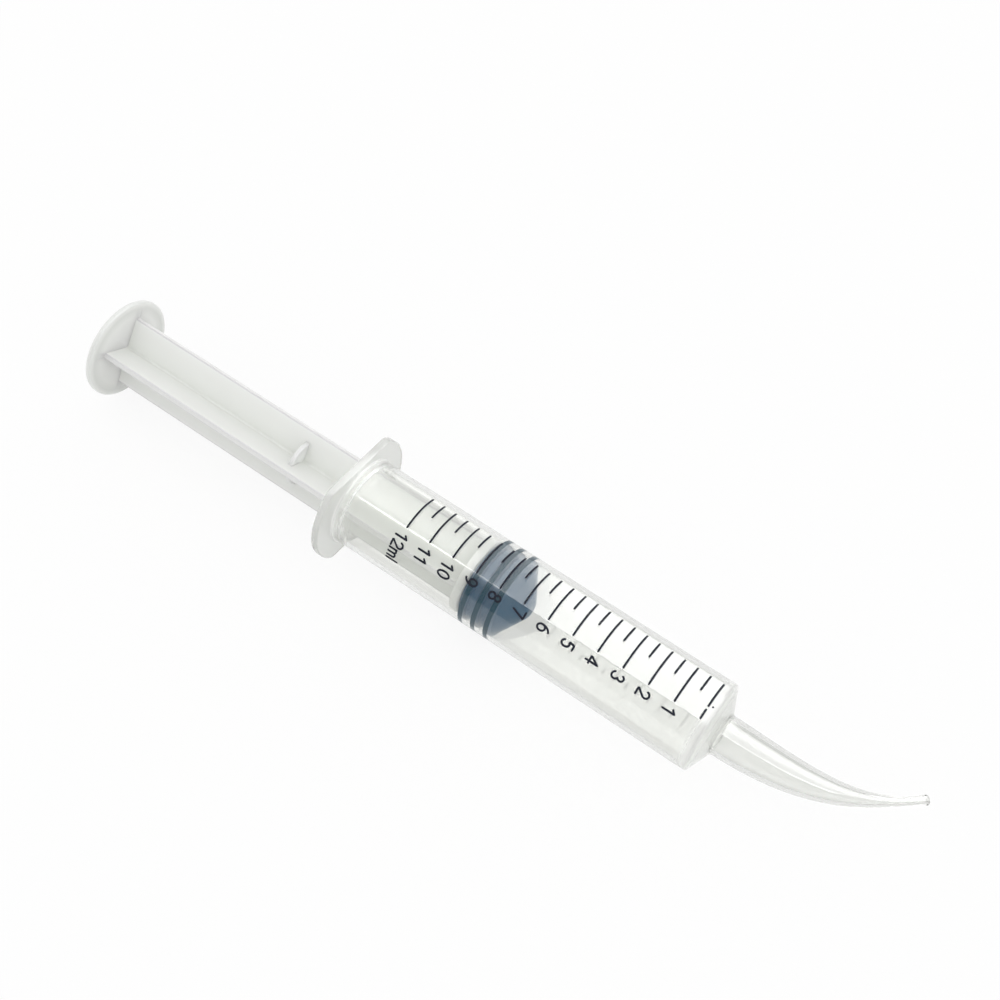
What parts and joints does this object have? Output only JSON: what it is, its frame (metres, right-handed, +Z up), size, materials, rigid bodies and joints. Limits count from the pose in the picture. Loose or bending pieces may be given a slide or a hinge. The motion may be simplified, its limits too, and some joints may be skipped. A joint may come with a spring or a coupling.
{
  "type": "dental syringe",
  "caption": "Curved-tip dental irrigation syringe: clear graduated barrel with finger flange, rubber stopper and cross-ribbed plunger rod.",
  "frame": {"origin": "on the barrel's axis in the plane of the finger flange's rear face, at the centre of the barrel's mouth", "axes": "+X along the barrel towards the nozzle; +Y along the finger flange, towards the side that the nozzle curves to; +Z up, square to the two flats of the finger flange"},
  "size_m": [0.1729, 0.0254, 0.0208],
  "materials": {
    "clear_polypropylene": "moulded, clear, glossy",
    "natural_polypropylene": "moulded, whitish, translucent, satin",
    "grey_rubber": "moulded, blue-grey, smooth"
  },
  "bodies": {
    "barrel": {"barrel": "clear_polypropylene"},
    "stopper": {"stopper": "grey_rubber"},
    "plunger_rod": {"plunger_rod": "natural_polypropylene"}
  },
  "joints": [
    {"name": "plunger_slide", "type": "slide", "parent": "barrel", "child": "stopper", "axis": [1, 0, 0], "range_m": [-0.0278, 0.03978]},
    {"name": "rod_spin", "type": "hinge", "parent": "stopper", "child": "plunger_rod", "pos_m": [0.02937, 0, 0], "axis": [1, 0, 0], "continuous": true}
  ]
}
